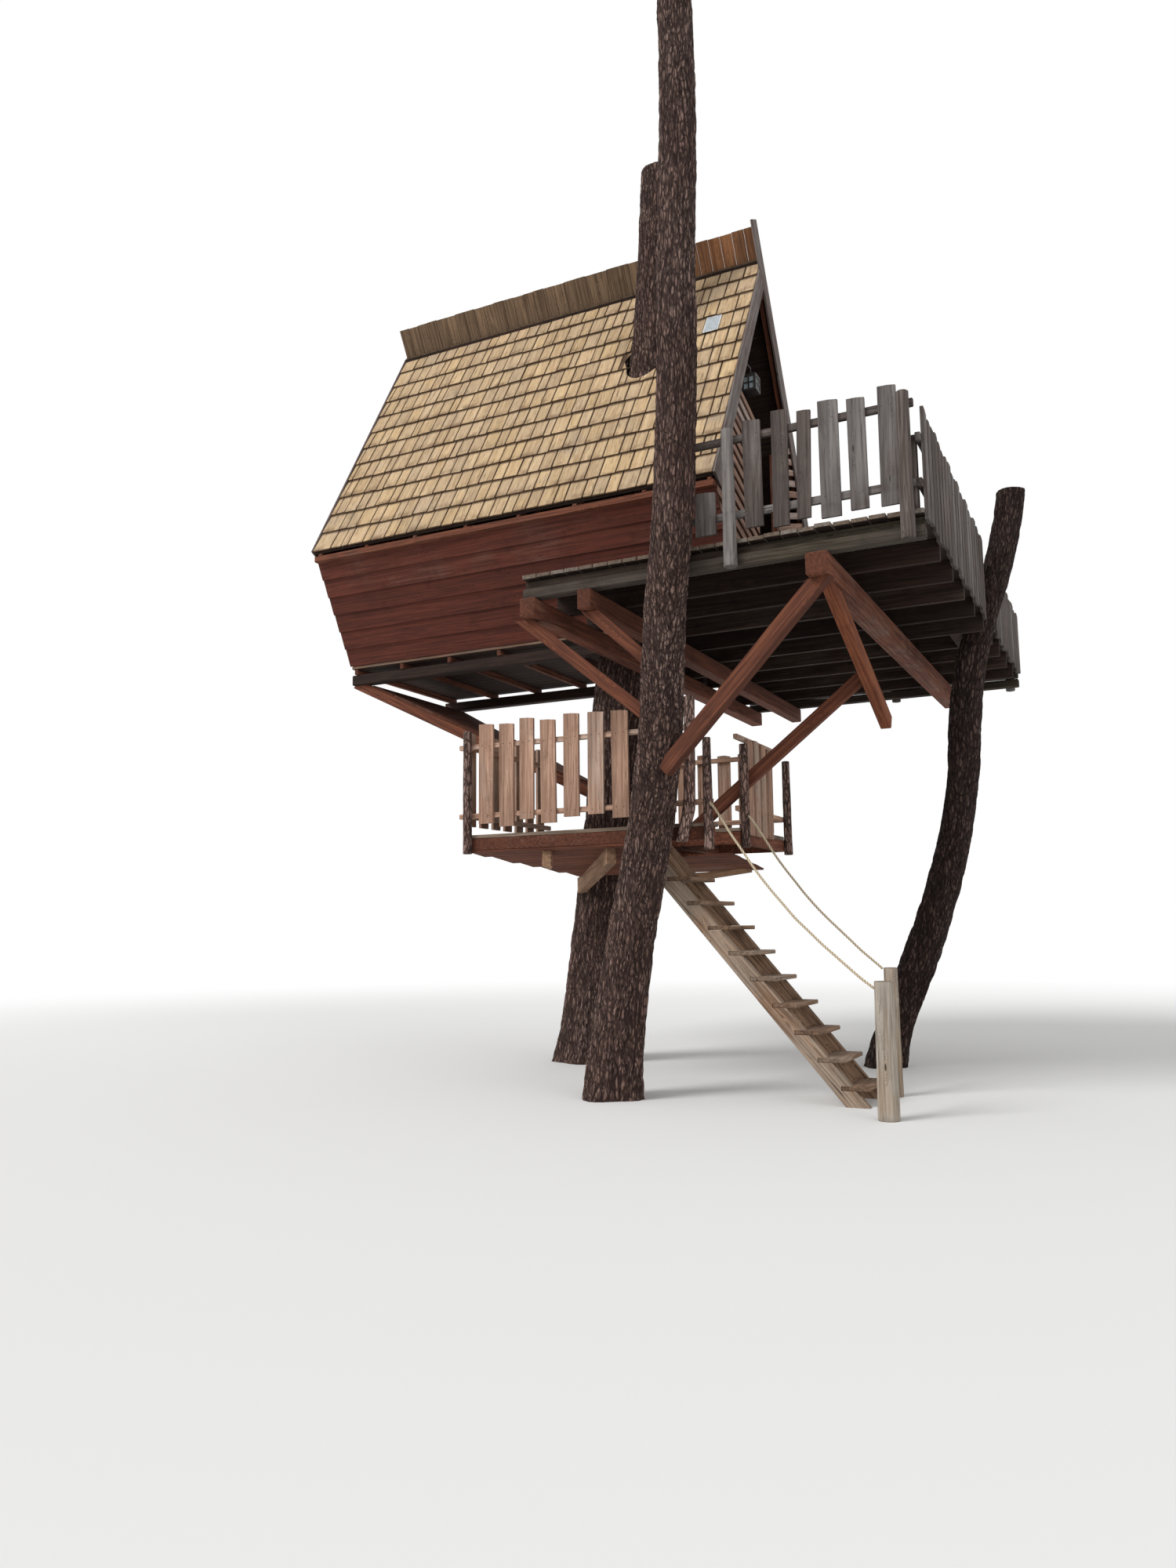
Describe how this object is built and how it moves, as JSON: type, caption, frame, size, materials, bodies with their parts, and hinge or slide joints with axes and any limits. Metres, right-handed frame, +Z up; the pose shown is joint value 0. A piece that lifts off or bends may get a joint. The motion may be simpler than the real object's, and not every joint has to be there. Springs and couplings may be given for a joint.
{
  "type": "tree house",
  "caption": "A-frame shingled cabin with an open gable and a railed deck on living tree trunks, a small railed platform below it and a plank stair with slack hand ropes.",
  "frame": {"origin": "centre of the main trunk's foot, on the ground", "axes": "+X along the ridge towards the open gable and the stair's foot, +Y to the far side, +Z up"},
  "size_m": [8.0785, 7.3421, 10.6],
  "materials": {
    "bark": "deep plated bark, reddish brown and grey",
    "red_timber": "stained red-brown sawn timber, matt",
    "dark_joists": "dark stained joists with worn pale edges",
    "deck_boards": "weathered brown-grey boards",
    "shingles": "honey tan split shingles, dry and matt",
    "crest_boards": "dark brown weathered boards",
    "grey_wood": "silver-grey weathered slab wood",
    "pale_wood": "sun-bleached reddish tan wood",
    "black_iron": "black painted iron, worn",
    "pane": "small dusty glass pane",
    "rope": "laid natural fibre rope"
  },
  "bodies": {
    "root": {"trunk_main": "bark", "trunk_near": "bark", "trunk_right": "bark", "cross_beams": "red_timber", "edge_beams": "deck_boards", "deck_joists": "dark_joists", "deck_boards": "deck_boards", "cabin_bearers": "dark_joists", "cabin_joists": "red_timber", "cabin_floor": "deck_boards", "near_side_wall": "red_timber", "far_side_wall": "red_timber", "near_studs": "red_timber", "far_studs": "red_timber", "wall_plates": "red_timber", "near_rafters": "red_timber", "far_rafters": "red_timber", "ridge_beam": "red_timber", "near_roof": "shingles", "far_roof": "shingles", "ridge_crest": "crest_boards", "front_rake_boards": "grey_wood", "back_rake_boards": "grey_wood", "back_gable_wall": "red_timber", "front_wall": "red_timber", "door_posts": "red_timber", "lantern": "black_iron", "roof_pane": "pane", "near_brace_outer": "red_timber", "near_brace_inner": "red_timber", "near_brace_right": "red_timber", "raking_brace": "red_timber", "back_brace": "red_timber", "cabin_braces": "red_timber", "cabin_soffit": "dark_joists", "deck_posts": "grey_wood", "deck_rails": "grey_wood", "deck_pickets_near": "grey_wood", "deck_pickets_right": "grey_wood", "deck_pickets_far": "grey_wood", "lower_joists": "red_timber", "lower_soffit": "dark_joists", "lower_floor": "deck_boards", "lower_posts": "pale_wood", "lower_rails": "pale_wood", "lower_pickets_near": "pale_wood", "lower_pickets_sides": "pale_wood", "lower_arms": "pale_wood", "stair_stringers": "pale_wood", "stair_treads": "deck_boards", "stair_posts": "pale_wood", "rope_near": "rope", "rope_far": "rope"}
  },
  "joints": []
}
